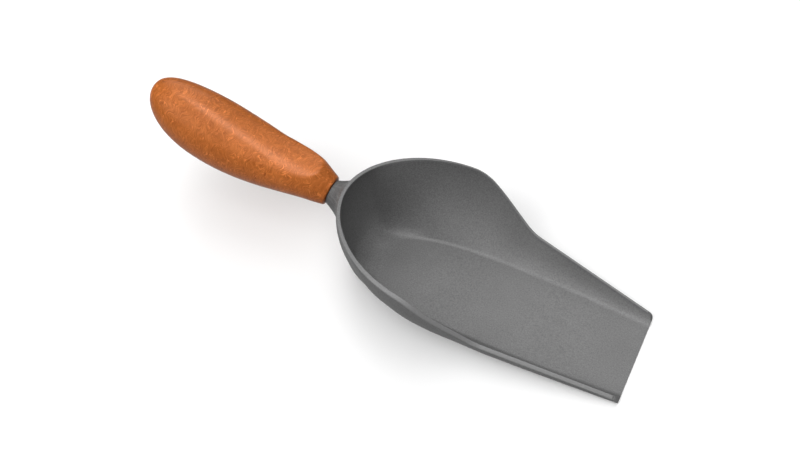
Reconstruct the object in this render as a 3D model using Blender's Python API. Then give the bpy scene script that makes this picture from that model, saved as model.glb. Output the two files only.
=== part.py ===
"""A feed scoop: a cast metal scoop body with a wooden handle screwed to its neck.

Metres, +Z up. The scoop stands on its flat floor at Z = 0, the pouring lip at +X and the
handle rising towards -X. Stations along the scoop are measured as u, the distance behind
the pouring lip.
"""

import math

import bmesh
import bpy
import numpy as np
from mathutils import Vector
from mathutils.bvhtree import BVHTree

# ---- scoop body ----
LIP_X = 0.1545               # world X of the pouring lip
WALL = 0.0024                # wall thickness
LIP_FLOOR = 0.0006           # floor thickness at the lip
BACK_FLOOR = 0.0024          # floor thickness at the back of the bowl
FLOOR_HALF_LIP = 0.0248      # half width of the flat floor at the lip
FLOOR_HALF_MAX = 0.0287      # half width of the flat floor at its widest
FLOOR_WIDEST = 0.085         # where the flat floor is widest
FLOOR_BACK = 0.163           # where the flat floor ends at the back
FLOOR_POWER = 2.5            # squareness of the back of the floor
RIM_HALF_LIP = 0.0314        # half width over the rim at the lip
RIM_SPLAY = 0.16             # how fast the spout widens
SPOUT_END = 0.076            # where the straight spout ends
BOWL_AXIS = 0.1155           # where the bowl is widest
BOWL_HALF = 0.0528           # half width of the bowl over the rim
RIM_BACK = 0.1803            # the back of the rim
RIM_POWER = 1.94             # squareness of the back of the rim
SPOUT_HEIGHT = 0.0042        # rim height at the lip
SPOUT_RISE = 0.187           # slope of the spout rim
RAMP_START = 0.0797          # where the rim starts to climb to the bowl
RAMP_RISE = 0.70             # slope of that climb
BOWL_HEIGHT = 0.0448         # rim height where the climb ends
BOWL_RISE = 0.125            # slope of the bowl rim
FOOT_SPOUT = 0.74            # slope of a wall's foot, as a share of the whole wall's slope
FOOT_BACK = 0.03
HEAD_SPOUT = 0.22            # how much steeper a spout wall is at the rim than as a whole
DRAFT = 0.0009               # extra thickness half way down the walls of the spout
RIM_CHAMFER = 0.00035        # broken edges of the rim
RIM_TILT_SPOUT = math.radians(53.0)   # how far the rim's face is turned up from vertical
RIM_TILT_BACK = math.radians(87.0)
LIP_ROUND = 0.0035           # rounding of the wall corners at the lip
WALL_ROWS = 9                # rows of faces up a wall

# ---- neck and handle axis ----
NECK_U = 0.1900              # where the neck's end face is centred
NECK_Z = 0.0432
HANDLE_TILT = math.radians(14.3)
NECK_RADIUS = 0.0073
FLARE_TOP = 0.0118           # reach of the flare above the axis, at the bowl
FLARE_SIDE = 0.0156
FLARE_BOTTOM = 0.0118
FLARE_SINK = 0.0012          # how far the flare runs into the bowl's wall
FLARE_CONE = 0.6             # how soon the neck starts to widen
FLARE_CURL = 0.45            # how gently the flare runs out on the bowl
TAPPED_DEPTH = 0.0110

# ---- handle ----
HANDLE_LENGTH = 0.1215
HANDLE_END_RADIUS = 0.0089
HANDLE_MAX_RADIUS = 0.0199
HANDLE_MAX_AT = 0.075        # distance of the thickest place from the neck
HANDLE_BELLY = 0.0054        # how far the belly drops below the axis
HANDLE_BUTT_LIFT = 0.0012    # how far the butt's end is above the axis
HANDLE_BUTT_POWER = 2.35     # bluntness of the butt
HANDLE_SHAPE = (             # distance from the neck, radius, height of the section's centre
    (0.000, HANDLE_END_RADIUS, 0.0),
    (0.006, 0.0109, 0.0008),
    (0.012, 0.0127, 0.0017),
    (0.020, 0.0143, 0.0010),
    (0.030, 0.0157, -0.0010),
    (0.040, 0.0169, -0.0031),
    (0.055, 0.0188, -0.0046),
    (HANDLE_MAX_AT, HANDLE_MAX_RADIUS, -HANDLE_BELLY),
)
HANDLE_LIP = 0.0009          # rounding of the handle's front edge
PAD_LOW = 0.0114             # height of the thumb pad over the axis, at its lowest
PAD_LOW_AT = 0.040
PAD_BEND_FRONT = 2.22        # how fast the pad rises either side of its lowest place
PAD_BEND_REAR = 2.12
PAD_RADIUS = 0.032           # crown of the pad across the handle

# ---- fixings ----
GAP = 0.0003                 # clearance between neighbouring pieces
STUD_RADIUS = 0.0040
STUD_ROOT = 0.0034
STUD_PITCH = 0.00125
STUD_IN_HANDLE = 0.030
INSERT_RADIUS = 0.0060
INSERT_ROOT = 0.0053
INSERT_LENGTH = 0.020
INSERT_RECESS = 0.0012       # depth of the insert below the handle's end
INSERT_PITCH = 0.0025
INSERT_SLOT = 0.0016


def clear_scene():
    """Remove the objects the file opened with."""
    for obj in list(bpy.data.objects):
        bpy.data.objects.remove(obj, do_unlink=True)


def material(name, colour, roughness, metallic):
    """Make a Principled material."""
    mat = bpy.data.materials.new(name)
    mat.use_nodes = True
    shader = mat.node_tree.nodes["Principled BSDF"]
    shader.inputs["Base Color"].default_value = (*colour, 1.0)
    shader.inputs["Roughness"].default_value = roughness
    shader.inputs["Metallic"].default_value = metallic
    return mat


def add_object(name, bm, mat, sharp=40.0):
    """Turn a bmesh into an object with outward faces and smooth round surfaces."""
    bmesh.ops.recalc_face_normals(bm, faces=bm.faces)
    mesh = bpy.data.meshes.new(name)
    bm.to_mesh(mesh)
    bm.free()
    mesh.shade_smooth()
    mesh.set_sharp_from_angle(angle=math.radians(sharp))
    obj = bpy.data.objects.new(name, mesh)
    bpy.context.scene.collection.objects.link(obj)
    if mat is not None:
        mesh.materials.append(mat)
    return obj


def add_guide(name, bm):
    """Make an object that only shapes another one."""
    obj = add_object(name, bm, None)
    obj.hide_render = True
    obj.display_type = "WIRE"
    return obj


def boolean(obj, other, operation):
    """Cut or join another object into this one."""
    mod = obj.modifiers.new(other.name, "BOOLEAN")
    mod.operation = operation
    mod.solver = "EXACT"
    mod.object = other


def ease(value):
    """Go smoothly from 0 to 1 as the value does."""
    value = min(max(value, 0.0), 1.0)
    return value * value * (3.0 - 2.0 * value)


def smooth_min(a, b, width):
    """Take the smaller value, rounding the corner where the two cross."""
    overlap = max(width - abs(a - b), 0.0) / width
    return min(a, b) - overlap * overlap * width / 4.0


def smooth_max(a, b, width):
    """Take the larger value, rounding the corner where the two cross."""
    return -smooth_min(-a, -b, width)


# ---- scoop body ----

def floor_top(u):
    """Height of the inner floor, which thins evenly towards the lip."""
    return LIP_FLOOR + (BACK_FLOOR - LIP_FLOOR) * u / FLOOR_BACK


def rim_height(u):
    """Height of the rim: a low spout, a climb, and the high rim of the bowl."""
    spout = SPOUT_HEIGHT + SPOUT_RISE * u
    start = SPOUT_HEIGHT + SPOUT_RISE * RAMP_START
    ramp = start + RAMP_RISE * (u - RAMP_START)
    ramp_end = RAMP_START + (BOWL_HEIGHT - start) / RAMP_RISE
    bowl = BOWL_HEIGHT + BOWL_RISE * (u - ramp_end)
    return smooth_min(smooth_max(spout, ramp, 0.0024), bowl, 0.0040)


def rim_half_width(u):
    """Half width over the rim from the lip to the widest place of the bowl."""
    if u <= SPOUT_END:
        return RIM_HALF_LIP + RIM_SPLAY * u
    span = BOWL_AXIS - SPOUT_END
    t = (u - SPOUT_END) / span
    start = RIM_HALF_LIP + RIM_SPLAY * SPOUT_END
    return (start * (2 * t ** 3 - 3 * t ** 2 + 1)
            + RIM_SPLAY * span * (t ** 3 - 2 * t ** 2 + t)
            + BOWL_HALF * (3 * t ** 2 - 2 * t ** 3))


def rounded_back(centre, back, half, power, steps=160):
    """Points of a rounded back, from its widest place to the centre line."""
    angles = np.linspace(0.0, math.pi / 2, steps)
    u = centre + (back - centre) * np.sin(angles) ** (2 / power)
    y = half * np.cos(angles) ** (2 / power)
    y[-1] = 0.0
    return np.column_stack([u, y])


def rim_curve():
    """Half of the rim's outer edge in plan, from the floor's widest place to the back."""
    front = [(u, rim_half_width(u)) for u in np.linspace(FLOOR_WIDEST, BOWL_AXIS, 40)[:-1]]
    back = rounded_back(BOWL_AXIS, RIM_BACK, BOWL_HALF, RIM_POWER)
    return np.vstack([front, back])


def floor_curve():
    """Half of the flat floor's edge in plan, from its widest place to the back."""
    return rounded_back(FLOOR_WIDEST, FLOOR_BACK, FLOOR_HALF_MAX, FLOOR_POWER)


def along(points, fraction):
    """The point at a fraction of a polyline's length."""
    steps = np.linalg.norm(np.diff(points, axis=0), axis=1)
    length = np.concatenate([[0.0], np.cumsum(steps)])
    at = fraction * length[-1]
    return np.array([np.interp(at, length, points[:, k]) for k in range(2)])


def floor_half_width(u):
    """Half width of the flat floor from the lip to its widest place."""
    narrow = FLOOR_HALF_MAX - FLOOR_HALF_LIP
    return FLOOR_HALF_MAX - narrow * (1.0 - u / FLOOR_WIDEST) ** 2


def side_stations():
    """Pairs of floor edge and rim edge points, from the lip to the centre of the back."""
    pairs = []
    for u in np.concatenate([[0.0, 0.005], np.linspace(0.014, 0.074, 7), [0.0785, 0.0818]]):
        pairs.append(((u, floor_half_width(u)), (u, rim_half_width(u))))
    rim = rim_curve()
    floor = floor_curve()
    for k in range(31):
        fraction = k / 30
        pairs.append((along(floor, fraction), along(rim, fraction)))
    return pairs


def wall_section(floor, rim):
    """Points up the inside of a wall, from the flat floor to just under the rim.

    Also gives the direction up the wall at the rim, and the step across the rim.
    """
    backness = min(max((floor[0] - FLOOR_WIDEST) / (FLOOR_BACK - FLOOR_WIDEST), 0.0), 1.0)
    start = np.array([*floor, floor_top(floor[0])])
    outer = np.array([*rim, rim_height(rim[0])])
    out = outer - start
    rise = out[2]
    out[2] = 0.0
    reach = np.linalg.norm(out)
    out /= reach
    up = np.array([0.0, 0.0, 1.0])
    steep = math.atan2(rise, reach - WALL)
    foot = (FOOT_SPOUT + (FOOT_BACK - FOOT_SPOUT) * ease((backness - 0.60) / 0.38)) * steep
    lean = (HEAD_SPOUT + 0.30 * ease(backness / 0.45) - 0.40 * ease((backness - 0.55) / 0.25)
            + 0.27 * ease((backness - 0.86) / 0.14))
    head = min(steep + lean * (math.pi / 2 - foot), math.radians(96.0))
    climb = math.cos(head) * out + math.sin(head) * up
    turned = ease((rim[0] - FLOOR_WIDEST) / (RIM_BACK - FLOOR_WIDEST)) ** 2.5
    tilt = RIM_TILT_SPOUT + (RIM_TILT_BACK - RIM_TILT_SPOUT) * turned
    across = (math.sin(tilt) * out - math.cos(tilt) * up) * WALL / math.cos(head - tilt)
    end = outer - across - RIM_CHAMFER * climb
    chord = np.linalg.norm(end - start)
    first = start + min(0.36 * chord, 0.75 * reach) * (math.cos(foot) * out + math.sin(foot) * up)
    second = end - 0.36 * chord * climb
    points = []
    for k in range(WALL_ROWS + 1):
        t = (k / WALL_ROWS) ** 1.15
        points.append((1 - t) ** 3 * start + 3 * t * (1 - t) ** 2 * first
                      + 3 * t * t * (1 - t) * second + t ** 3 * end)
    return points, climb, across


def scoop_rows():
    """All stations round the scoop; each is a chain from the inner to the outer floor."""
    half = side_stations()
    mirrored = [((f[0], -f[1]), (r[0], -r[1])) for f, r in half]
    stations = mirrored + half[-2::-1]
    floor = np.array([s[0] for s in stations])
    rim = np.array([s[1] for s in stations])
    tangent = np.gradient(rim, axis=0)
    tangent /= np.linalg.norm(tangent, axis=1)[:, None]
    outward = np.column_stack([tangent[:, 1], -tangent[:, 0]])
    outward[0] = (0.0, -1.0)
    outward[-1] = (0.0, 1.0)
    sections = [wall_section(*station) for station in stations]
    inner = np.array([points for points, climb, across in sections])
    along_u = np.gradient(inner, axis=0)
    up_wall = np.gradient(inner, axis=1)
    normal = np.cross(along_u, up_wall)
    normal /= np.linalg.norm(normal, axis=2)[:, :, None]
    normal[0, :, 0] = 0.0
    normal[-1, :, 0] = 0.0
    rows = []
    for k, section in enumerate(inner):
        foot = section[0]
        thin = floor_top(foot[0])
        inset = foot[:2] - outward[k] * 0.001
        chain = [(*inset, floor_top(inset[0]))]
        chain += [tuple(p) for p in section]
        points, climb, across = sections[k]
        front = (FLOOR_BACK - floor[k][0]) / (FLOOR_BACK - FLOOR_WIDEST)
        draft = DRAFT * ease(5.0 * front - 2.5)
        edge = RIM_CHAMFER / WALL
        for share, height in ((edge, RIM_CHAMFER), (1.0 - edge, RIM_CHAMFER), (1.0, 0.0)):
            chain.append(tuple(section[-1] + across * share + climb * height))
        for j in range(WALL_ROWS - 1, 0, -1):
            part = (section[j][2] - foot[2]) / (section[-1][2] - foot[2])
            share = ease(2.0 * part)
            thick = thin * (1 - share) + WALL * share + draft * 4.0 * part * (1.0 - part)
            point = section[j] + normal[k][j] * thick
            point[2] = max(point[2], 0.25 * (section[j][2] - foot[2]))
            chain.append(tuple(point))
        low = foot + normal[k][0] * thin
        chain.append((*low[:2], 0.0))
        chain.append((*inset, 0.0))
        rows.append(chain)
    return rows


def scoop_mesh():
    """The scoop body without its neck."""
    rows = scoop_rows()
    bm = bmesh.new()
    grid = [[bm.verts.new((LIP_X - p[0], p[1], p[2])) for p in chain] for chain in rows]
    for a, b in zip(grid, grid[1:]):
        for k in range(len(a) - 1):
            bm.faces.new((a[k], a[k + 1], b[k + 1], b[k]))
    bm.faces.new([chain[0] for chain in grid])
    bm.faces.new([chain[-1] for chain in reversed(grid)])
    bm.faces.new(list(reversed(grid[0])) + grid[-1])
    return bm


def lip_cutter():
    """A bar that rounds the wall corners at the lip."""
    bm = bmesh.new()
    top = SPOUT_HEIGHT + SPOUT_RISE * LIP_ROUND
    low = LIP_FLOOR + 0.0001
    profile = [(LIP_X + 0.002, low), (LIP_X + 0.002, top + 0.002), (LIP_X - LIP_ROUND, top + 0.002)]
    for k in range(9):
        angle = math.pi / 2 * (1 - k / 8)
        x = LIP_X - LIP_ROUND + LIP_ROUND * math.cos(angle)
        profile.append((x, low + (top - low) * math.sin(angle)))
    ends = []
    for y in (-0.045, 0.045):
        ends.append([bm.verts.new((x, y, z)) for x, z in profile])
    for k in range(len(profile)):
        m = (k + 1) % len(profile)
        bm.faces.new((ends[0][k], ends[0][m], ends[1][m], ends[1][k]))
    bm.faces.new(ends[0])
    bm.faces.new(list(reversed(ends[1])))
    return bm


def bridge(bm, rings):
    """Join each ring of vertices to the next one with faces."""
    for a, b in zip(rings, rings[1:]):
        for k in range(len(a)):
            m = (k + 1) % len(a)
            bm.faces.new((a[k], a[m], b[m], b[k]))


def lathe(profile, segments):
    """Turn a profile of (x, radius) points about the X axis, with a flat face at each end."""
    bm = bmesh.new()
    rings = []
    for x, radius in profile:
        ring = []
        for k in range(segments):
            angle = 2 * math.pi * k / segments
            ring.append(bm.verts.new((x, radius * math.cos(angle), radius * math.sin(angle))))
        rings.append(ring)
    bridge(bm, rings)
    bm.faces.new(rings[0])
    bm.faces.new(rings[-1])
    return bm


def neck_mesh(body, frame):
    """The neck: a round stub that flares into the back of the bowl. World coordinates."""
    tree = BVHTree.FromBMesh(body)
    axis = (frame.to_3x3() @ Vector((1.0, 0.0, 0.0))).normalized()
    segments = 32
    steps = 8
    bm = bmesh.new()

    def wall_at(y, z):
        """The point of the bowl's outside that lies along the axis, and its outward direction."""
        hit = tree.ray_cast(frame @ Vector((0.0, y, z)), axis)
        return hit[0], hit[1]

    rings = [[] for k in range(steps + 3)]
    for m in range(segments):
        y = math.cos(2 * math.pi * m / segments)
        z = math.sin(2 * math.pi * m / segments)
        tall = FLARE_TOP if z > 0 else FLARE_BOTTOM
        start = frame @ Vector((GAP, NECK_RADIUS * y, NECK_RADIUS * z))
        surface, outside = wall_at(FLARE_SIDE * y, tall * z)
        end = surface - outside * 0.0002
        radial = frame.to_3x3() @ Vector((0.0, y, z))
        spread = (radial - outside * radial.dot(outside)).normalized()
        length = (end - start).length
        widen = frame.to_3x3() @ Vector((0.0, (FLARE_SIDE - NECK_RADIUS) * y,
                                         (tall - NECK_RADIUS) * z)) * FLARE_CONE
        for k in range(steps + 1):
            t = k / steps
            point = (start * (2 * t ** 3 - 3 * t ** 2 + 1) + end * (3 * t ** 2 - 2 * t ** 3)
                     + (axis * length + widen) * (t ** 3 - 2 * t ** 2 + t)
                     + spread * length * FLARE_CURL * (t ** 3 - t ** 2))
            rings[k].append(bm.verts.new(point))
        rings[steps + 1].append(bm.verts.new(surface - outside * FLARE_SINK))
        surface, outside = wall_at(0.5 * FLARE_SIDE * y, 0.5 * tall * z)
        rings[steps + 2].append(bm.verts.new(surface - outside * FLARE_SINK))
    bridge(bm, rings)
    bm.faces.new(rings[0])
    surface, outside = wall_at(0.0, 0.0)
    tip = bm.verts.new(surface - outside * FLARE_SINK)
    for m in range(segments):
        bm.faces.new((rings[-1][m], rings[-1][(m + 1) % segments], tip))
    return bm


# ---- handle ----

def handle_shape(t, column):
    """A smooth curve through one column of HANDLE_SHAPE, level at the thickest place."""
    shape = np.array(HANDLE_SHAPE)
    at = shape[:, 0]
    value = shape[:, column]
    slope = np.gradient(value, at)
    slope[-1] = 0.0
    k = int(np.clip(np.searchsorted(at, t) - 1, 0, len(at) - 2))
    span = at[k + 1] - at[k]
    s = (t - at[k]) / span
    return (value[k] * (2 * s ** 3 - 3 * s ** 2 + 1) + span * slope[k] * (s ** 3 - 2 * s ** 2 + s)
            + value[k + 1] * (3 * s ** 2 - 2 * s ** 3) + span * slope[k + 1] * (s ** 3 - s ** 2))


def handle_radius(t):
    """Radius of the round body of the handle at a distance t from its front end."""
    if t <= HANDLE_MAX_AT:
        return handle_shape(t, 1)
    part = (t - HANDLE_MAX_AT) / (HANDLE_LENGTH - HANDLE_MAX_AT)
    return HANDLE_MAX_RADIUS * max(1.0 - part ** HANDLE_BUTT_POWER, 0.0) ** (1 / HANDLE_BUTT_POWER)


def handle_centre(t):
    """Height of the section's centre over the handle's axis."""
    if t <= HANDLE_MAX_AT:
        return handle_shape(t, 2)
    part = (t - HANDLE_MAX_AT) / (HANDLE_LENGTH - HANDLE_MAX_AT)
    return -HANDLE_BELLY + (HANDLE_BELLY + HANDLE_BUTT_LIFT) * part ** 2.8


def pad_height(t):
    """Height of the crown of the thumb pad over the handle's axis."""
    away = t - PAD_LOW_AT
    return PAD_LOW + (PAD_BEND_FRONT if away < 0.0 else PAD_BEND_REAR) * away * away


def handle_section(t, segments):
    """Points round the handle at a distance t from its front end."""
    radius = handle_radius(t)
    centre = handle_centre(t)
    pad = pad_height(t) - PAD_RADIUS - centre
    soft = 0.0005 + 0.0030 * ease((t - 0.030) / 0.035)
    points = []
    for k in range(segments):
        angle = 2 * math.pi * k / segments
        side = math.sin(angle)
        up = math.cos(angle)
        reach = pad * up + math.sqrt(max(PAD_RADIUS ** 2 - (pad * side) ** 2, 0.0))
        reach = smooth_min(radius, reach, soft) if radius > 0.004 else radius
        points.append((reach * side, centre + reach * up))
    return points


def handle_mesh(segments=44):
    """The wooden handle along -X, its front end at the origin."""
    stations = [HANDLE_LIP * (1 - math.cos(math.pi / 2 * k / 3)) for k in range(1, 4)]
    stations += [0.003, 0.0055, 0.0075, 0.0090, 0.0105, 0.0125, 0.0155]
    stations += [0.0155 + (HANDLE_MAX_AT - 0.0155) * k / 9 for k in range(1, 10)]
    for k in range(1, 9):
        stations.append(HANDLE_MAX_AT
                        + (HANDLE_LENGTH - HANDLE_MAX_AT) * math.sin(math.pi / 2 * k / 9))
    bm = bmesh.new()
    rings = []
    face = HANDLE_END_RADIUS - HANDLE_LIP
    rings.append([bm.verts.new((0.0, face * math.sin(2 * math.pi * k / segments),
                                face * math.cos(2 * math.pi * k / segments)))
                  for k in range(segments)])
    for number, t in enumerate(stations):
        shrink = 1.0
        if number < 3:
            round_off = math.sin(math.pi / 2 * (number + 1) / 3)
            shrink = (face + HANDLE_LIP * round_off) / HANDLE_END_RADIUS
        rings.append([bm.verts.new((-t, y * shrink, z * shrink))
                      for y, z in handle_section(t, segments)])
    bridge(bm, rings)
    bm.faces.new(rings[0])
    butt = bm.verts.new((-HANDLE_LENGTH, 0.0, handle_centre(HANDLE_LENGTH)))
    for k in range(segments):
        bm.faces.new((rings[-1][k], rings[-1][(k + 1) % segments], butt))
    return bm


# ---- fixings ----

def threaded(start, end, root, crest, pitch, chamfer):
    """Profile of a rod with a ridge at each pitch, from start back to end."""
    profile = [(start, root - chamfer)]
    turns = int((start - end - 2 * chamfer) / pitch)
    first = start - (start - end - turns * pitch) / 2
    profile.append((first, root))
    for k in range(turns):
        profile.append((first - (k + 0.5) * pitch, crest))
        profile.append((first - (k + 1) * pitch, root))
    profile.append((end, root - chamfer))
    return profile


def build():
    """Model every piece."""
    clear_scene()
    cast = material("cast_grey", (0.20, 0.20, 0.20), 0.55, 0.35)
    wood = material("burl_wood", (0.50, 0.15, 0.035), 0.38, 0.0)
    steel = material("zinc_steel", (0.62, 0.62, 0.60), 0.35, 1.0)
    brass = material("brass", (0.72, 0.53, 0.24), 0.32, 1.0)

    axis = bpy.data.objects.new("handle_axis", None)
    axis.location = (LIP_X - NECK_U, 0.0, NECK_Z)
    axis.rotation_euler = (0.0, HANDLE_TILT, 0.0)
    bpy.context.scene.collection.objects.link(axis)
    bpy.context.view_layer.update()

    body = scoop_mesh()
    bmesh.ops.recalc_face_normals(body, faces=body.faces)
    neck = add_guide("neck_stub", neck_mesh(body, axis.matrix_world))
    scoop = add_object("scoop_casting", body, cast)
    boolean(scoop, add_guide("lip_cutter", lip_cutter()), "DIFFERENCE")
    boolean(scoop, neck, "UNION")
    hole = add_guide("tapped_hole", lathe([(TAPPED_DEPTH, STUD_RADIUS + GAP),
                                           (-0.002, STUD_RADIUS + GAP)], 24))
    hole.parent = axis
    boolean(scoop, hole, "DIFFERENCE")

    handle = add_object("wooden_handle", handle_mesh(), wood, 50.0)
    handle.parent = axis
    deep = INSERT_RECESS + INSERT_LENGTH + 0.001
    bore = add_guide("handle_bore", lathe([(0.002, INSERT_RADIUS + GAP),
                                           (-deep, INSERT_RADIUS + GAP),
                                           (-deep, STUD_RADIUS + GAP),
                                           (-STUD_IN_HANDLE - 0.0015, STUD_RADIUS + GAP)], 28))
    bore.parent = axis
    boolean(handle, bore, "DIFFERENCE")

    rod = threaded(TAPPED_DEPTH - 0.0005, -STUD_IN_HANDLE, STUD_ROOT, STUD_RADIUS, STUD_PITCH, 0.0006)
    stud = add_object("handle_stud", lathe(rod, 16), steel, 30.0)
    stud.parent = axis

    sleeve = threaded(-INSERT_RECESS, -INSERT_RECESS - INSERT_LENGTH, INSERT_ROOT, INSERT_RADIUS,
                      INSERT_PITCH, 0.0003)
    insert = add_object("threaded_insert", lathe(sleeve, 24), brass, 30.0)
    insert.parent = axis
    core = add_guide("insert_bore", lathe([(0.002, STUD_RADIUS + GAP),
                                           (-0.028, STUD_RADIUS + GAP)], 24))
    core.parent = axis
    boolean(insert, core, "DIFFERENCE")
    slot = bmesh.new()
    bmesh.ops.create_cube(slot, size=1.0)
    bmesh.ops.scale(slot, vec=(0.004, INSERT_SLOT, 0.016), verts=slot.verts)
    bmesh.ops.translate(slot, vec=(-INSERT_RECESS, 0.0, 0.0), verts=slot.verts)
    slot = add_guide("insert_slot", slot)
    slot.parent = axis
    boolean(insert, slot, "DIFFERENCE")


build()
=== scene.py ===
"""Looks of the feed scoop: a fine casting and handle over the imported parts, materials and studio."""

import math

import bmesh
import bpy
import numpy as np
from mathutils import Matrix, Vector
from mathutils.bvhtree import BVHTree


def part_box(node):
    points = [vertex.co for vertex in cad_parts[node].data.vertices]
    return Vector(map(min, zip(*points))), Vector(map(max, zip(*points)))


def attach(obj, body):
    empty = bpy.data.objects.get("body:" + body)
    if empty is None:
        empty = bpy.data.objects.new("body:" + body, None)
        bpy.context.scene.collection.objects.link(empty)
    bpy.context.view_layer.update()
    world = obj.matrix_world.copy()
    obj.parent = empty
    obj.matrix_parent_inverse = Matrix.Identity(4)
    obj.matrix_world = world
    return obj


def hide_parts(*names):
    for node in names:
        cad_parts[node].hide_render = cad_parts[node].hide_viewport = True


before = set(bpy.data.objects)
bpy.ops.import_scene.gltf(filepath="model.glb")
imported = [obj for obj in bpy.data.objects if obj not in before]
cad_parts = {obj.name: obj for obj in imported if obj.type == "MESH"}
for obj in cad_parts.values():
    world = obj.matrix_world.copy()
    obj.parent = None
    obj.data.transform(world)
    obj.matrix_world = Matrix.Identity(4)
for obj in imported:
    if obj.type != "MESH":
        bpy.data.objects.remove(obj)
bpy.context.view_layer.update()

# ---- scoop body, metres; u is the distance behind the pouring lip ----
LIP_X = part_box("scoop_casting")[1].x
WALL = 0.0024
LIP_FLOOR = 0.0006
BACK_FLOOR = 0.0024
FLOOR_HALF_LIP = 0.0248
FLOOR_HALF_MAX = 0.0287
FLOOR_WIDEST = 0.085
FLOOR_BACK = 0.163
FLOOR_POWER = 2.5
RIM_HALF_LIP = 0.0314
RIM_SPLAY = 0.16
SPOUT_END = 0.076
BOWL_AXIS = 0.1155
BOWL_HALF = 0.0528
RIM_BACK = 0.1803
RIM_POWER = 1.94
SPOUT_HEIGHT = 0.0042
SPOUT_RISE = 0.187
RAMP_START = 0.0797
RAMP_RISE = 0.70
BOWL_HEIGHT = 0.0448
BOWL_RISE = 0.125
DRAFT = 0.0009               # extra thickness half way down the walls of the spout
RIM_ROUND = 0.00045          # rounding of the rim's edges
CREASE = 0.0016              # reach of the fillet between floor and wall
CREASE_BACK = 0.0105
SHADE_UNDER_RIM = 0.0014               # width of the painted shade line under the rim's inner edge
FOOT_SPOUT = 0.74            # slope of a wall's foot, as a share of the whole wall's slope
FOOT_BACK = 0.03
HEAD_SPOUT = 0.22            # how much steeper a spout wall is at the rim than as a whole
RIM_TILT_SPOUT = math.radians(53.0)   # how far the rim's face is turned up from vertical
RIM_TILT_BACK = math.radians(87.0)
LIP_ROUND = 0.0035
WALL_ROWS = 30

# ---- neck and handle ----
NECK_U = 0.1900
NECK_Z = 0.0432
HANDLE_TILT = math.radians(14.3)
NECK_RADIUS = 0.0073
FLARE_TOP = 0.0118
FLARE_SIDE = 0.0156
FLARE_BOTTOM = 0.0118
FLARE_SINK = 0.0012
FLARE_CONE = 0.6             # how soon the neck starts to widen
FLARE_CURL = 0.45            # how gently the flare runs out on the bowl
TAPPED_DEPTH = 0.0110
GAP = 0.0003
HANDLE_LENGTH = 0.1215
HANDLE_END_RADIUS = 0.0089
HANDLE_MAX_RADIUS = 0.0199
HANDLE_MAX_AT = 0.075
HANDLE_BELLY = 0.0054
HANDLE_BUTT_LIFT = 0.0012
HANDLE_BUTT_POWER = 2.35
HANDLE_SHAPE = (             # distance from the neck, radius, height of the section's centre
    (0.000, HANDLE_END_RADIUS, 0.0),
    (0.006, 0.0109, 0.0008),
    (0.012, 0.0127, 0.0017),
    (0.020, 0.0143, 0.0010),
    (0.030, 0.0157, -0.0010),
    (0.040, 0.0169, -0.0031),
    (0.055, 0.0188, -0.0046),
    (HANDLE_MAX_AT, HANDLE_MAX_RADIUS, -HANDLE_BELLY),
)
HANDLE_LIP = 0.0009
PAD_LOW = 0.0114
PAD_LOW_AT = 0.040
PAD_BEND_FRONT = 2.22
PAD_BEND_REAR = 2.12
PAD_RADIUS = 0.032
STUD_RADIUS = 0.0040
STUD_IN_HANDLE = 0.030
INSERT_RADIUS = 0.0060
INSERT_LENGTH = 0.020
INSERT_RECESS = 0.0012

# ---- studio ----
LENS = 42.1875
CAMERA_PLACE = (0.164880, -0.303294, 0.443530)
CAMERA_TIP = math.radians(40.0)        # how far the camera is tipped up from looking straight down
CAMERA_TURN = math.radians(27.228)
FLOOR_HALF = 30.0
GLOW = 0.49                  # strength of the even glow from below
LAMPS = (                    # angle from the zenith, bearing from +X, radius in degrees, strength
    (0.0, 0.0, 18.0, 2.90),
    (30.0, 60.0, 15.0, 0.89),
    (30.0, 120.0, 15.0, 1.91),
    (30.0, 300.0, 15.0, 3.08),
    (30.0, 240.0, 15.0, 2.95),
    (54.0, 120.0, 19.0, 1.91),
    (54.0, 300.0, 19.0, 0.55),
    (54.0, 240.0, 19.0, 3.89),
    (78.0, 0.0, 19.0, 1.22),
)
SHEEN_WAY = (0.148, 0.165, 0.975)      # from the grip to the lamp that puts the sheen on it
SHEEN_AWAY = 1.0
SHEEN_LENGTH = 0.9
SHEEN_WIDTH = 0.22
SHEEN_POWER = 15.0
SHARP = math.radians(35.0)   # edges bent further than this are drawn sharp

AXIS = (Matrix.Translation((LIP_X - NECK_U, 0.0, NECK_Z))
        @ Matrix.Rotation(HANDLE_TILT, 4, "Y"))


# ---- shapes ----

def ease(value):
    """Go smoothly from 0 to 1 as the value does."""
    value = min(max(value, 0.0), 1.0)
    return value * value * (3.0 - 2.0 * value)


def smooth_min(a, b, width):
    """Take the smaller value, rounding the corner where the two cross."""
    overlap = max(width - abs(a - b), 0.0) / width
    return min(a, b) - overlap * overlap * width / 4.0


def smooth_max(a, b, width):
    """Take the larger value, rounding the corner where the two cross."""
    return -smooth_min(-a, -b, width)


def floor_top(u):
    """Height of the inner floor, which thins evenly towards the lip."""
    return LIP_FLOOR + (BACK_FLOOR - LIP_FLOOR) * u / FLOOR_BACK


def rim_height(u):
    """Height of the rim: a low spout, a climb, and the high rim of the bowl."""
    spout = SPOUT_HEIGHT + SPOUT_RISE * u
    start = SPOUT_HEIGHT + SPOUT_RISE * RAMP_START
    ramp = start + RAMP_RISE * (u - RAMP_START)
    ramp_end = RAMP_START + (BOWL_HEIGHT - start) / RAMP_RISE
    bowl = BOWL_HEIGHT + BOWL_RISE * (u - ramp_end)
    return smooth_min(smooth_max(spout, ramp, 0.0024), bowl, 0.0040)


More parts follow.
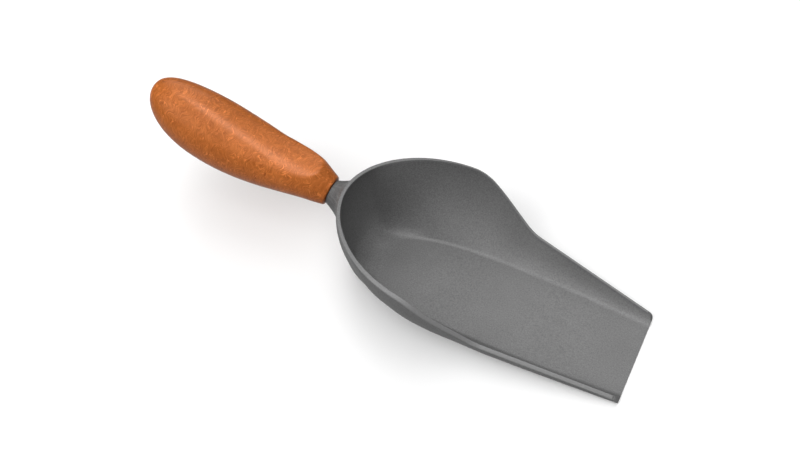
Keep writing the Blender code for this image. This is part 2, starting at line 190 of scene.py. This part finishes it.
def rim_half_width(u):
    """Half width over the rim from the lip to the widest place of the bowl."""
    if u <= SPOUT_END:
        return RIM_HALF_LIP + RIM_SPLAY * u
    span = BOWL_AXIS - SPOUT_END
    t = (u - SPOUT_END) / span
    start = RIM_HALF_LIP + RIM_SPLAY * SPOUT_END
    return (start * (2 * t ** 3 - 3 * t ** 2 + 1)
            + RIM_SPLAY * span * (t ** 3 - 2 * t ** 2 + t)
            + BOWL_HALF * (3 * t ** 2 - 2 * t ** 3))


def floor_half_width(u):
    """Half width of the flat floor from the lip to its widest place."""
    narrow = FLOOR_HALF_MAX - FLOOR_HALF_LIP
    return FLOOR_HALF_MAX - narrow * (1.0 - u / FLOOR_WIDEST) ** 2


def rounded_back(centre, back, half, power, steps=700):
    """Points of a rounded back, from its widest place to the centre line."""
    angles = np.linspace(0.0, math.pi / 2, steps)
    u = centre + (back - centre) * np.sin(angles) ** (2 / power)
    y = half * np.cos(angles) ** (2 / power)
    y[-1] = 0.0
    return np.column_stack([u, y])


def along(points, fraction):
    """The point at a fraction of a polyline's length."""
    steps = np.linalg.norm(np.diff(points, axis=0), axis=1)
    length = np.concatenate([[0.0], np.cumsum(steps)])
    at = fraction * length[-1]
    return np.array([np.interp(at, length, points[:, k]) for k in range(2)])


def side_stations():
    """Floor edge and rim edge points from the lip to the centre of the back, and the way round."""
    pairs = []
    for u in np.linspace(0.0, 1.0, 61)[:-1] ** 1.15 * FLOOR_WIDEST:
        pairs.append(((u, floor_half_width(u)), (u, rim_half_width(u)), 0.0))
    front = [(u, rim_half_width(u)) for u in np.linspace(FLOOR_WIDEST, BOWL_AXIS, 120)[:-1]]
    rim = np.vstack([front, rounded_back(BOWL_AXIS, RIM_BACK, BOWL_HALF, RIM_POWER)])
    floor = rounded_back(FLOOR_WIDEST, FLOOR_BACK, FLOOR_HALF_MAX, FLOOR_POWER)
    for k in range(101):
        pairs.append((along(floor, k / 100), along(rim, k / 100), k / 100))
    return pairs


def wall_section(floor, rim, way):
    """Points up the inside of a wall: the fillet at the floor, then the wall to under the rim.

    Also gives the direction up the wall at the rim, and the step across the rim.
    """
    backness = min(max((floor[0] - FLOOR_WIDEST) / (FLOOR_BACK - FLOOR_WIDEST), 0.0), 1.0)
    start = np.array([*floor, floor_top(floor[0])])
    outer = np.array([*rim, rim_height(rim[0])])
    out = outer - start
    rise = out[2]
    out[2] = 0.0
    reach = np.linalg.norm(out)
    out /= reach
    up = np.array([0.0, 0.0, 1.0])
    steep = math.atan2(rise, reach - WALL)
    foot = (FOOT_SPOUT + (FOOT_BACK - FOOT_SPOUT) * ease((backness - 0.60) / 0.38)) * steep
    # steeper towards the rim along the bowl's side, less so round its corner, steep at the back
    lean = (HEAD_SPOUT + 0.30 * ease(backness / 0.45) - 0.40 * ease((backness - 0.55) / 0.25)
            + 0.27 * ease((backness - 0.86) / 0.14))
    head = min(steep + lean * (math.pi / 2 - foot), math.radians(96.0))
    climb = math.cos(head) * out + math.sin(head) * up
    tilt = RIM_TILT_SPOUT + (RIM_TILT_BACK - RIM_TILT_SPOUT) * ease(
        (rim[0] - FLOOR_WIDEST) / (RIM_BACK - FLOOR_WIDEST)) ** 2.5
    across = (math.sin(tilt) * out - math.cos(tilt) * up) * WALL / math.cos(head - tilt)
    end = outer - across - RIM_ROUND * climb
    chord = np.linalg.norm(end - start)
    first = start + min(0.36 * chord, 0.75 * reach) * (math.cos(foot) * out + math.sin(foot) * up)
    second = end - 0.36 * chord * climb

    def wall(t):
        return ((1 - t) ** 3 * start + 3 * t * (1 - t) ** 2 * first
                + 3 * t * t * (1 - t) * second + t ** 3 * end)

    fillet = CREASE + (CREASE_BACK - CREASE) * ease((way - 0.72) / 0.20)
    reach_t = fillet / (3.0 * np.linalg.norm(first - start))
    corner = start - fillet * out
    corner[2] = floor_top(corner[0])
    landing = wall(reach_t)
    points = []
    for k in range(12):
        t = k / 12
        points.append((1 - t) ** 2 * corner + 2 * t * (1 - t) * start + t * t * landing)
    for k in range(WALL_ROWS + 1):
        points.append(wall(reach_t + (1 - reach_t) * k / WALL_ROWS))
    return points, climb, across


def scoop_rows():
    """All stations round the scoop; each is a chain from the inner to the outer floor."""
    half = side_stations()
    mirrored = [((f[0], -f[1]), (r[0], -r[1]), way) for f, r, way in half]
    stations = mirrored + half[-2::-1]
    floor = np.array([s[0] for s in stations])
    rim = np.array([s[1] for s in stations])
    tangent = np.gradient(rim, axis=0)
    tangent /= np.linalg.norm(tangent, axis=1)[:, None]
    outward = np.column_stack([tangent[:, 1], -tangent[:, 0]])
    outward[0] = (0.0, -1.0)
    outward[-1] = (0.0, 1.0)
    inner = []
    edges = []
    for station in stations:
        points, climb, across = wall_section(*station)
        inner.append(points)
        front = (FLOOR_BACK - station[0][0]) / (FLOOR_BACK - FLOOR_WIDEST)
        edges.append((climb, across, DRAFT * ease(5.0 * front - 2.5)))
    inner = np.array(inner)
    along_u = np.gradient(inner, axis=0)
    up_wall = np.gradient(inner, axis=1)
    normal = np.cross(along_u, up_wall)
    normal /= np.linalg.norm(normal, axis=2)[:, :, None]
    normal[0, :, 0] = 0.0
    normal[-1, :, 0] = 0.0
    rows = []
    rim_marks = []
    for k, section in enumerate(inner):
        foot = section[0]
        thin = floor_top(foot[0])
        climb, across, draft = edges[k]
        inset = foot[:2] - outward[k] * 0.001
        chain = [(*inset, floor_top(inset[0]))]
        chain += [tuple(p) for p in section]
        back = stations[k][1][0]
        worn = 1.0 - 0.66 * ease((back - 0.105) / 0.025) - 0.30 * ease((back - 0.160) / 0.015)
        below = np.linalg.norm(section - section[-1], axis=1)
        # negative marks paint shade in a line under the rim's inner edge; the positive ones are the
        # rubbed rim
        marks = [0.0] + [-float(d) for d in np.exp(-(below / SHADE_UNDER_RIM) ** 2)[:-1]] + [0.6 * worn]
        for j in range(1, 13):
            turn = math.pi / 2 * min(j / 4, (13 - j) / 4, 1.0)
            in_by = RIM_ROUND * (1 - math.cos(turn)) / WALL
            share = in_by if j < 7 else 1.0 - in_by
            if 4 <= j <= 9:
                share = (RIM_ROUND + (WALL - 2 * RIM_ROUND) * (j - 4) / 5) / WALL
            chain.append(tuple(section[-1] + across * share + climb * RIM_ROUND * math.sin(turn)))
        chain.append(tuple(section[-1] + across))
        marks += [worn] * 12 + [0.6 * worn]
        for j in range(len(section) - 2, 0, -1):
            part = (section[j][2] - foot[2]) / (section[-1][2] - foot[2])
            share = ease(2.0 * part)
            thick = thin * (1 - share) + WALL * share + draft * 4.0 * part * (1.0 - part)
            point = section[j] + normal[k][j] * thick
            point[2] = max(point[2], 0.25 * (section[j][2] - foot[2]))
            chain.append(tuple(point))
        chain.append((*(foot + normal[k][0] * thin)[:2], 0.0))
        chain.append((*inset, 0.0))
        marks += [0.0] * (len(chain) - len(marks))
        rows.append(chain)
        rim_marks.append(marks)
    return rows, rim_marks


def scoop_mesh():
    """The scoop body without its neck."""
    rows, rim_marks = scoop_rows()
    bm = bmesh.new()
    layer = bm.verts.layers.float.new("rim")
    grid = []
    for chain, marks in zip(rows, rim_marks):
        line = []
        for p, mark in zip(chain, marks):
            vert = bm.verts.new((LIP_X - p[0], p[1], p[2]))
            vert[layer] = mark
            line.append(vert)
        grid.append(line)
    for a, b in zip(grid, grid[1:]):
        for k in range(len(a) - 1):
            bm.faces.new((a[k], a[k + 1], b[k + 1], b[k]))
    bm.faces.new([chain[0] for chain in grid])
    bm.faces.new([chain[-1] for chain in reversed(grid)])
    bm.faces.new(list(reversed(grid[0])) + grid[-1])
    bmesh.ops.recalc_face_normals(bm, faces=bm.faces)
    return bm


def lip_cutter():
    """A bar that rounds the wall corners at the lip."""
    bm = bmesh.new()
    top = SPOUT_HEIGHT + SPOUT_RISE * LIP_ROUND
    low = LIP_FLOOR + 0.0001
    profile = [(LIP_X + 0.002, low), (LIP_X + 0.002, top + 0.002), (LIP_X - LIP_ROUND, top + 0.002)]
    for k in range(17):
        angle = math.pi / 2 * (1 - k / 16)
        x = LIP_X - LIP_ROUND + LIP_ROUND * math.cos(angle)
        profile.append((x, low + (top - low) * math.sin(angle)))
    ends = []
    for y in (-0.045, 0.045):
        ends.append([bm.verts.new((x, y, z)) for x, z in profile])
    for k in range(len(profile)):
        m = (k + 1) % len(profile)
        bm.faces.new((ends[0][k], ends[0][m], ends[1][m], ends[1][k]))
    bm.faces.new(ends[0])
    bm.faces.new(list(reversed(ends[1])))
    return bm


def bridge(bm, rings):
    """Join each ring of vertices to the next one with faces."""
    for a, b in zip(rings, rings[1:]):
        for k in range(len(a)):
            m = (k + 1) % len(a)
            bm.faces.new((a[k], a[m], b[m], b[k]))


def lathe(profile, segments):
    """Turn a profile of (x, radius) points about the handle's axis, a flat face at each end."""
    bm = bmesh.new()
    rings = []
    for x, radius in profile:
        ring = []
        for k in range(segments):
            angle = 2 * math.pi * k / segments
            point = Vector((x, radius * math.cos(angle), radius * math.sin(angle)))
            ring.append(bm.verts.new(AXIS @ point))
        rings.append(ring)
    bridge(bm, rings)
    bm.faces.new(rings[0])
    bm.faces.new(rings[-1])
    return bm


def neck_mesh(body):
    """The neck: a round stub that flares into the back of the bowl."""
    tree = BVHTree.FromBMesh(body)
    direction = (AXIS.to_3x3() @ Vector((1.0, 0.0, 0.0))).normalized()
    segments = 96
    steps = 24
    bm = bmesh.new()

    def wall_at(y, z):
        """The point of the bowl's outside that lies along the axis, and its outward direction."""
        hit = tree.ray_cast(AXIS @ Vector((0.0, y, z)), direction)
        return hit[0], hit[1]

    rings = [[] for k in range(steps + 3)]
    for m in range(segments):
        y = math.cos(2 * math.pi * m / segments)
        z = math.sin(2 * math.pi * m / segments)
        tall = FLARE_TOP if z > 0 else FLARE_BOTTOM
        start = AXIS @ Vector((GAP, NECK_RADIUS * y, NECK_RADIUS * z))
        end, outside = wall_at(FLARE_SIDE * y, tall * z)
        end = end - outside * 0.00004
        radial = AXIS.to_3x3() @ Vector((0.0, y, z))
        spread = (radial - outside * radial.dot(outside)).normalized()
        length = (end - start).length
        widen = AXIS.to_3x3() @ Vector((0.0, (FLARE_SIDE - NECK_RADIUS) * y,
                                        (tall - NECK_RADIUS) * z)) * FLARE_CONE
        for k in range(steps + 1):
            t = k / steps
            point = (start * (2 * t ** 3 - 3 * t ** 2 + 1) + end * (3 * t ** 2 - 2 * t ** 3)
                     + (direction * length + widen) * (t ** 3 - 2 * t ** 2 + t)
                     + spread * length * FLARE_CURL * (t ** 3 - t ** 2))
            rings[k].append(bm.verts.new(point))
        rings[steps + 1].append(bm.verts.new(end - outside * FLARE_SINK))
        middle, outside = wall_at(0.5 * FLARE_SIDE * y, 0.5 * tall * z)
        rings[steps + 2].append(bm.verts.new(middle - outside * FLARE_SINK))
    bridge(bm, rings)
    bm.faces.new(rings[0])
    middle, outside = wall_at(0.0, 0.0)
    tip = bm.verts.new(middle - outside * FLARE_SINK)
    for m in range(segments):
        bm.faces.new((rings[-1][m], rings[-1][(m + 1) % segments], tip))
    return bm


def handle_shape(t, column):
    """A smooth curve through one column of HANDLE_SHAPE, level at the thickest place."""
    shape = np.array(HANDLE_SHAPE)
    at = shape[:, 0]
    value = shape[:, column]
    slope = np.gradient(value, at)
    slope[-1] = 0.0
    k = int(np.clip(np.searchsorted(at, t) - 1, 0, len(at) - 2))
    span = at[k + 1] - at[k]
    s = (t - at[k]) / span
    return (value[k] * (2 * s ** 3 - 3 * s ** 2 + 1) + span * slope[k] * (s ** 3 - 2 * s ** 2 + s)
            + value[k + 1] * (3 * s ** 2 - 2 * s ** 3) + span * slope[k + 1] * (s ** 3 - s ** 2))


def handle_radius(t):
    """Radius of the round body of the handle at a distance t from its front end."""
    if t <= HANDLE_MAX_AT:
        return handle_shape(t, 1)
    part = (t - HANDLE_MAX_AT) / (HANDLE_LENGTH - HANDLE_MAX_AT)
    return HANDLE_MAX_RADIUS * max(1.0 - part ** HANDLE_BUTT_POWER, 0.0) ** (1 / HANDLE_BUTT_POWER)


def handle_centre(t):
    """Height of the section's centre over the handle's axis."""
    if t <= HANDLE_MAX_AT:
        return handle_shape(t, 2)
    part = (t - HANDLE_MAX_AT) / (HANDLE_LENGTH - HANDLE_MAX_AT)
    return -HANDLE_BELLY + (HANDLE_BELLY + HANDLE_BUTT_LIFT) * part ** 2.8


def pad_height(t):
    """Height of the crown of the thumb pad over the handle's axis."""
    away = t - PAD_LOW_AT
    return PAD_LOW + (PAD_BEND_FRONT if away < 0.0 else PAD_BEND_REAR) * away * away


def handle_section(t, segments):
    """Points round the handle at a distance t from its front end."""
    radius = handle_radius(t)
    centre = handle_centre(t)
    pad = pad_height(t) - PAD_RADIUS - centre
    soft = 0.0005 + 0.0030 * ease((t - 0.030) / 0.035)
    points = []
    for k in range(segments):
        angle = 2 * math.pi * k / segments
        side = math.sin(angle)
        up = math.cos(angle)
        reach = pad * up + math.sqrt(max(PAD_RADIUS ** 2 - (pad * side) ** 2, 0.0))
        reach = smooth_min(radius, reach, soft) if radius > 0.004 else radius
        points.append((reach * side, centre + reach * up))
    return points


def handle_mesh(segments=192):
    """The wooden handle, its front end against the neck."""
    stations = [HANDLE_LIP * (1 - math.cos(math.pi / 2 * k / 8)) for k in range(1, 9)]
    stations += list(np.linspace(HANDLE_LIP, HANDLE_MAX_AT, 131)[1:])
    for k in range(1, 60):
        stations.append(HANDLE_MAX_AT
                        + (HANDLE_LENGTH - HANDLE_MAX_AT) * math.sin(math.pi / 2 * k / 60))
    bm = bmesh.new()
    face = HANDLE_END_RADIUS - HANDLE_LIP
    front = [(face * math.sin(2 * math.pi * k / segments), face * math.cos(2 * math.pi * k / segments))
             for k in range(segments)]
    rings = [[bm.verts.new(AXIS @ Vector((0.0, y, z))) for y, z in front]]
    for number, t in enumerate(stations):
        shrink = 1.0
        if number < 8:
            round_off = math.sin(math.pi / 2 * (number + 1) / 8)
            shrink = (face + HANDLE_LIP * round_off) / HANDLE_END_RADIUS
        rings.append([bm.verts.new(AXIS @ Vector((-t, y * shrink, z * shrink)))
                      for y, z in handle_section(t, segments)])
    bridge(bm, rings)
    bm.faces.new(rings[0])
    butt = bm.verts.new(AXIS @ Vector((-HANDLE_LENGTH, 0.0, handle_centre(HANDLE_LENGTH))))
    for k in range(segments):
        bm.faces.new((rings[-1][k], rings[-1][(k + 1) % segments], butt))
    return bm


# ---- objects ----

def add_object(name, bm, mat=None):
    """Turn a bmesh into an object with outward faces and smooth round surfaces."""
    bmesh.ops.recalc_face_normals(bm, faces=bm.faces)
    mesh = bpy.data.meshes.new(name)
    bm.to_mesh(mesh)
    bm.free()
    mesh.shade_smooth()
    mesh.set_sharp_from_angle(angle=SHARP)
    obj = bpy.data.objects.new(name, mesh)
    bpy.context.scene.collection.objects.link(obj)
    if mat is not None:
        mesh.materials.append(mat)
    return obj


def shape_with(obj, tools):
    """Cut or join other meshes into an object, and keep only the result."""
    for tool, operation in tools:
        mod = obj.modifiers.new(tool.name, "BOOLEAN")
        mod.operation = operation
        mod.solver = "EXACT"
        mod.object = tool
    bpy.context.view_layer.update()
    graph = bpy.context.evaluated_depsgraph_get()
    mesh = bpy.data.meshes.new_from_object(obj.evaluated_get(graph))
    obj.modifiers.clear()
    obj.data = mesh
    mesh.shade_smooth()
    mesh.set_sharp_from_angle(angle=SHARP)
    for tool, operation in tools:
        bpy.data.objects.remove(tool, do_unlink=True)


# ---- materials ----

def new_material(name):
    """A material without nodes yet, and its node tree."""
    mat = bpy.data.materials.new(name)
    mat.use_nodes = True
    tree = mat.node_tree
    tree.nodes.clear()
    return mat, tree


def node(tree, kind, inputs=None, **settings):
    """Add a node; inputs may be values or sockets to link from."""
    made = tree.nodes.new(kind)
    for key, value in settings.items():
        setattr(made, key, value)
    for key, value in (inputs or {}).items():
        if isinstance(value, bpy.types.NodeSocket):
            tree.links.new(value, made.inputs[key])
        else:
            made.inputs[key].default_value = value
    return made


def ramp(tree, factor, stops):
    """A colour ramp through (position, colour) stops, where a colour may be one grey number."""
    made = node(tree, "ShaderNodeValToRGB", {"Fac": factor})
    while len(made.color_ramp.elements) < len(stops):
        made.color_ramp.elements.new(0.5)
    for element, (position, colour) in zip(made.color_ramp.elements, stops):
        element.position = position
        grey = isinstance(colour, (int, float))
        element.color = (colour, colour, colour, 1.0) if grey else (*colour, 1.0)
    return made.outputs["Color"]


def mix(tree, kind, factor, a, b):
    """Mix two colours."""
    made = node(tree, "ShaderNodeMix", data_type="RGBA", blend_type=kind)
    for index, value in ((0, factor), (6, a), (7, b)):
        if isinstance(value, bpy.types.NodeSocket):
            tree.links.new(value, made.inputs[index])
        elif index and isinstance(value, (int, float)):
            made.inputs[index].default_value = (value, value, value, 1.0)
        else:
            made.inputs[index].default_value = value if not index else (*value, 1.0)
    return made.outputs[2]


def noise(tree, coords, scale, detail=3.0, rough=0.5, distort=0.0):
    """A noise value over the given coordinates."""
    made = node(tree, "ShaderNodeTexNoise", {"Vector": coords, "Scale": scale, "Detail": detail,
                                             "Roughness": rough, "Distortion": distort})
    return made.outputs["Fac"]


def finish_material(tree, shader):
    """Connect the shader to the output."""
    out = tree.nodes.new("ShaderNodeOutputMaterial")
    tree.links.new(shader.outputs["BSDF"], out.inputs["Surface"])


def cast_metal():
    """Dark grey sand casting: fine even grain, faint mottling, a rubbed, lighter rim, and painted shade
    under the rim's inner edge and on the neck.
    """
    mat, tree = new_material("cast_metal")
    coords = node(tree, "ShaderNodeTexCoord").outputs["Object"]
    grain = noise(tree, coords, 1350.0, 2.0, 0.6)
    pits = noise(tree, coords, 900.0, 3.0, 0.6)
    patches = noise(tree, coords, 45.0, 3.0, 0.5)
    rim = node(tree, "ShaderNodeAttribute", attribute_name="rim").outputs["Fac"]
    base = ramp(tree, patches, [(0.3, 0.145), (0.7, 0.158)])
    base = mix(tree, "MULTIPLY", 1.0, base, ramp(tree, grain, [(0.30, 0.78), (0.70, 1.22)]))
    rubbed = ramp(tree, pits, [(0.25, 0.186), (0.75, 0.224)])
    colour = mix(tree, "MIX", rim, base, rubbed)
    # painted shade: the negative rim marks darken a line under the rim's inner edge to 75 percent
    painted_rim_shade = node(tree, "ShaderNodeMapRange", {"Value": rim, "From Min": -1.0, "From Max": 0.0,
                                              "To Min": 0.75, "To Max": 1.0}).outputs[0]
    colour = mix(tree, "MULTIPLY", 1.0, colour, painted_rim_shade)
    # painted shade: the neck behind the bowl's back rim is darkened to 74 percent, standing in for the
    # shade of the bowl and handle
    along_x = node(tree, "ShaderNodeSeparateXYZ", {0: coords}).outputs["X"]
    neck = node(tree, "ShaderNodeMapRange", {"Value": along_x, "From Min": LIP_X - RIM_BACK - 0.0030,
                                             "From Max": LIP_X - RIM_BACK - 0.0002,
                                             "To Min": 0.74, "To Max": 1.0}).outputs[0]
    colour = mix(tree, "MULTIPLY", 1.0, colour, neck)
    dull = node(tree, "ShaderNodeMapRange", {"Value": pits, "From Min": 0.2, "From Max": 0.8,
                                             "To Min": 0.46, "To Max": 0.58}).outputs[0]
    rough = node(tree, "ShaderNodeBump", {"Height": grain, "Strength": 0.25, "Distance": 0.00008})
    soft = node(tree, "ShaderNodeBump", {"Height": pits, "Strength": 0.25, "Distance": 0.0001,
                                         "Normal": rough.outputs["Normal"]})
    shader = node(tree, "ShaderNodeBsdfPrincipled",
                  {"Base Color": colour, "Roughness": dull, "Metallic": 0.25,
                   "Normal": soft.outputs["Normal"]})
    finish_material(tree, shader)
    return mat


def burl_wood():
    """Orange-brown wood with curly bird's-eye figure under a satin varnish."""
    mat, tree = new_material("burl_wood")
    place = node(tree, "ShaderNodeTexCoord").outputs["Object"]
    turned = node(tree, "ShaderNodeMapping", {"Vector": place, "Rotation": (0.0, -HANDLE_TILT, 0.0)},
                  vector_type="POINT")
    coords = turned.outputs["Vector"]
    swirl = node(tree, "ShaderNodeTexNoise", {"Vector": coords, "Scale": 160.0, "Detail": 1.0})
    shift = node(tree, "ShaderNodeVectorMath", {0: swirl.outputs["Color"], 1: (0.5, 0.5, 0.5)},
                 operation="SUBTRACT")
    push = node(tree, "ShaderNodeVectorMath", {0: shift.outputs[0], "Scale": 0.010},
                operation="SCALE")
    warped = node(tree, "ShaderNodeVectorMath", {0: coords, 1: push.outputs[0]},
                  operation="ADD").outputs[0]
    drawn = node(tree, "ShaderNodeMapping", {"Vector": warped, "Scale": (1.0, 0.35, 0.35)},
                 vector_type="POINT").outputs["Vector"]
    streaks = node(tree, "ShaderNodeMapping", {"Vector": warped, "Scale": (1.0, 0.16, 0.16)},
                   vector_type="POINT").outputs["Vector"]
    eyes = node(tree, "ShaderNodeTexVoronoi", {"Vector": warped, "Scale": 170.0,
                                               "Randomness": 0.55}).outputs["Distance"]
    tone = noise(tree, coords, 60.0, 3.0, 0.55, 0.6)
    flame = noise(tree, drawn, 620.0, 4.0, 0.65, 1.6)
    fleck = noise(tree, drawn, 760.0, 3.0, 0.6, 1.2)
    fibre = noise(tree, streaks, 1700.0, 3.0, 0.6)
    base = ramp(tree, tone, [(0.30, (0.375, 0.104, 0.022)), (0.70, (0.445, 0.128, 0.029))])
    base = mix(tree, "MULTIPLY", 1.0, base, ramp(tree, fibre, [(0.30, 0.76), (0.70, 1.20)]))
    near_eye = ramp(tree, eyes, [(0.10, 1.0), (0.50, 0.30)])
    light = mix(tree, "MULTIPLY", 1.0, ramp(tree, flame, [(0.48, 0.0), (0.60, 1.0)]), near_eye)
    colour = mix(tree, "MIX", light, base, (0.76, 0.235, 0.062))
    dark = mix(tree, "MULTIPLY", 1.0, ramp(tree, fleck, [(0.36, 0.95), (0.48, 0.0)]), near_eye)
    colour = mix(tree, "MIX", dark, colour, (0.27, 0.066, 0.013))
    bump = node(tree, "ShaderNodeBump", {"Height": fibre, "Strength": 0.08, "Distance": 0.0001})
    shader = node(tree, "ShaderNodeBsdfPrincipled",
                  {"Base Color": colour, "Roughness": 0.34, "Normal": bump.outputs["Normal"],
                   "Specular IOR Level": 0.25, "Specular Tint": (1.0, 0.50, 0.33, 1.0)})
    finish_material(tree, shader)
    return mat


def turned_metal(name, colour, roughness):
    """Plain metal with fine turning marks and faint stains."""
    mat, tree = new_material(name)
    coords = node(tree, "ShaderNodeTexCoord").outputs["Object"]
    marks = noise(tree, coords, 1800.0, 3.0, 0.6)
    stains = noise(tree, coords, 160.0, 3.0, 0.55)
    darker = tuple(0.8 * c for c in colour)
    tint = mix(tree, "MIX", ramp(tree, stains, [(0.35, 0.0), (0.65, 1.0)]), darker, colour)
    dull = node(tree, "ShaderNodeMapRange", {"Value": marks, "To Min": roughness - 0.08,
                                             "To Max": roughness + 0.10}).outputs[0]
    bump = node(tree, "ShaderNodeBump", {"Height": marks, "Strength": 0.15, "Distance": 0.00005})
    shader = node(tree, "ShaderNodeBsdfPrincipled",
                  {"Base Color": tint, "Roughness": dull, "Metallic": 1.0,
                   "Normal": bump.outputs["Normal"]})
    finish_material(tree, shader)
    return mat


def pale_floor():
    """Matte white paper with the faintest unevenness."""
    mat, tree = new_material("pale_floor")
    coords = node(tree, "ShaderNodeTexCoord").outputs["Object"]
    tone = ramp(tree, noise(tree, coords, 8.0, 2.0), [(0.3, 0.905), (0.7, 0.915)])
    shader = node(tree, "ShaderNodeBsdfPrincipled", {"Base Color": tone, "Roughness": 1.0,
                                                     "Specular IOR Level": 0.0})
    finish_material(tree, shader)
    return mat


# ---- studio ----

def add_camera():
    """The camera at the viewing angle of the picture."""
    data = bpy.data.cameras.new("camera")
    data.sensor_width = 36.0
    data.lens = LENS
    data.clip_start = 0.01
    data.clip_end = 50.0
    camera = bpy.data.objects.new("camera", data)
    camera.location = CAMERA_PLACE
    camera.rotation_euler = (CAMERA_TIP, 0.0, CAMERA_TURN)
    bpy.context.scene.collection.objects.link(camera)
    bpy.context.scene.camera = camera


def add_sheen(obj):
    """A long lamp over the handle that only puts a sheen on one object."""
    data = bpy.data.lights.new("sheen_lamp", "AREA")
    data.shape = "RECTANGLE"
    data.size = SHEEN_LENGTH
    data.size_y = SHEEN_WIDTH
    data.energy = SHEEN_POWER
    lamp = bpy.data.objects.new("sheen_lamp", data)
    target = AXIS @ Vector((-0.5 * HANDLE_LENGTH, 0.0, 0.01))
    aim = Vector(SHEEN_WAY).normalized()
    lamp.location = target + aim * SHEEN_AWAY
    lamp.rotation_euler = (-math.atan2(aim.y, aim.z), math.asin(aim.x), 0.0)
    lamp.visible_camera = False
    lamp.visible_diffuse = False
    bpy.context.scene.collection.objects.link(lamp)
    receivers = bpy.data.collections.new("sheen_receivers")
    receivers.objects.link(obj)
    lamp.light_linking.receiver_collection = receivers


def add_world():
    """A dark sky with soft round lamps, and an even pale glow from below."""
    world = bpy.data.worlds.new("studio")
    bpy.context.scene.world = world
    world.use_nodes = True
    tree = world.node_tree
    tree.nodes.clear()
    way = node(tree, "ShaderNodeTexCoord").outputs["Generated"]
    height = node(tree, "ShaderNodeSeparateXYZ", {0: way}).outputs["Z"]
    light = node(tree, "ShaderNodeMapRange", {"Value": height, "From Min": -0.30, "From Max": -0.10,
                                              "To Min": GLOW, "To Max": 0.0}).outputs[0]
    for off, bearing, radius, strength in LAMPS:
        off = math.radians(off)
        bearing = math.radians(bearing)
        aim = (math.sin(off) * math.cos(bearing), math.sin(off) * math.sin(bearing), math.cos(off))
        facing = node(tree, "ShaderNodeVectorMath", {0: way, 1: aim}, operation="DOT_PRODUCT")
        lamp = node(tree, "ShaderNodeMapRange",
                    {"Value": facing.outputs["Value"], "From Min": math.cos(math.radians(1.35 * radius)),
                     "From Max": math.cos(math.radians(0.55 * radius)), "To Max": strength},
                    interpolation_type="SMOOTHSTEP").outputs[0]
        light = node(tree, "ShaderNodeMath", {0: light, 1: lamp}, operation="ADD").outputs[0]
    back = node(tree, "ShaderNodeBackground", {"Color": light, "Strength": 1.0})
    out = tree.nodes.new("ShaderNodeOutputWorld")
    tree.links.new(back.outputs[0], out.inputs["Surface"])


def add_floor():
    """A wide pale floor."""
    bm = bmesh.new()
    bmesh.ops.create_grid(bm, x_segments=8, y_segments=8, size=FLOOR_HALF)
    floor = add_object("floor", bm, pale_floor())
    floor.location = (0.0, 0.0, -0.00005)
    floor.visible_diffuse = False
    floor.visible_glossy = False
    floor.visible_shadow = False


# ---- build ----

METAL = cast_metal()
WOOD = burl_wood()

body = scoop_mesh()
neck = add_object("neck_stub", neck_mesh(body))
casting = add_object("casting", body, METAL)
cutter = add_object("lip_cutter", lip_cutter())
hole = add_object("tapped_hole", lathe([(TAPPED_DEPTH, STUD_RADIUS + GAP),
                                        (-0.002, STUD_RADIUS + GAP)], 48))
shape_with(casting, [(cutter, "DIFFERENCE"), (neck, "UNION"), (hole, "DIFFERENCE")])
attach(casting, "root")
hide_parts("scoop_casting")

grip = add_object("grip", handle_mesh(), WOOD)
deep = INSERT_RECESS + INSERT_LENGTH + 0.001
bore = add_object("handle_bore", lathe([(0.002, INSERT_RADIUS + GAP), (-deep, INSERT_RADIUS + GAP),
                                        (-deep, STUD_RADIUS + GAP),
                                        (-STUD_IN_HANDLE - 0.0015, STUD_RADIUS + GAP)], 64))
shape_with(grip, [(bore, "DIFFERENCE")])
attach(grip, "root")
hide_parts("wooden_handle")

for name, mat in (("handle_stud", turned_metal("stud_steel", (0.62, 0.62, 0.60), 0.34)),
                  ("threaded_insert", turned_metal("insert_brass", (0.72, 0.53, 0.24), 0.32))):
    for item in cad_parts[name].material_slots:
        item.material = mat

add_floor()
add_camera()
add_sheen(grip)
add_world()
bpy.context.scene.view_settings.view_transform = "Standard"
